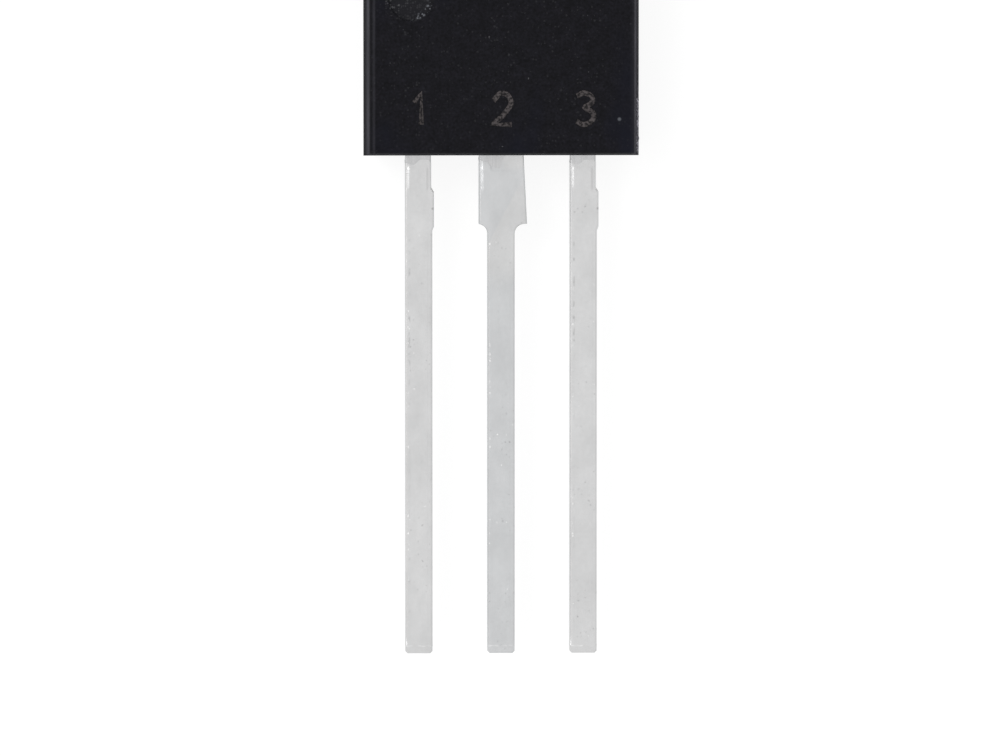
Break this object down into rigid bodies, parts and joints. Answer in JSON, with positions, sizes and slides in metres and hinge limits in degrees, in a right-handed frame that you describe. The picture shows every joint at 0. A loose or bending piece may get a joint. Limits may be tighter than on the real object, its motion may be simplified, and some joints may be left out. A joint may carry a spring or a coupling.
{
  "type": "power transistor",
  "caption": "Power transistor in a flat black moulded package with a screw hole, a bare metal pad on the back and a row of flat tinned leads.",
  "frame": {"origin": "where the axis of the screw hole meets the back of the package, which carries the bare pad", "axes": "+Z out of the front face, the package lying on its back; +Y from the leads towards the end with the hole; +X to the right when the front is seen with the leads downwards, so pin 1 is at -X"},
  "size_m": [0.0076, 0.0247, 0.0027],
  "materials": {
    "molding_compound": "mineral-filled black epoxy, matte with the fine spark-eroded grain of the mould",
    "plated_copper": "nickel-plated copper strip, satin, slightly grey, fine rolling lines",
    "solder": "hot-dipped tin solder, satin light grey, slightly uneven",
    "silicon": "polished dark grey silicon with metallised bond areas",
    "bond_wire_aluminium": "bright drawn aluminium wire, pressed flat at the wedge bonds"
  },
  "bodies": {
    "root": {"mold_body": "molding_compound", "collector_frame": "plated_copper", "base_lead": "plated_copper", "emitter_lead": "plated_copper", "die_solder": "solder", "silicon_die": "silicon", "base_bond_wire": "bond_wire_aluminium", "emitter_bond_wire": "bond_wire_aluminium"}
  },
  "joints": []
}
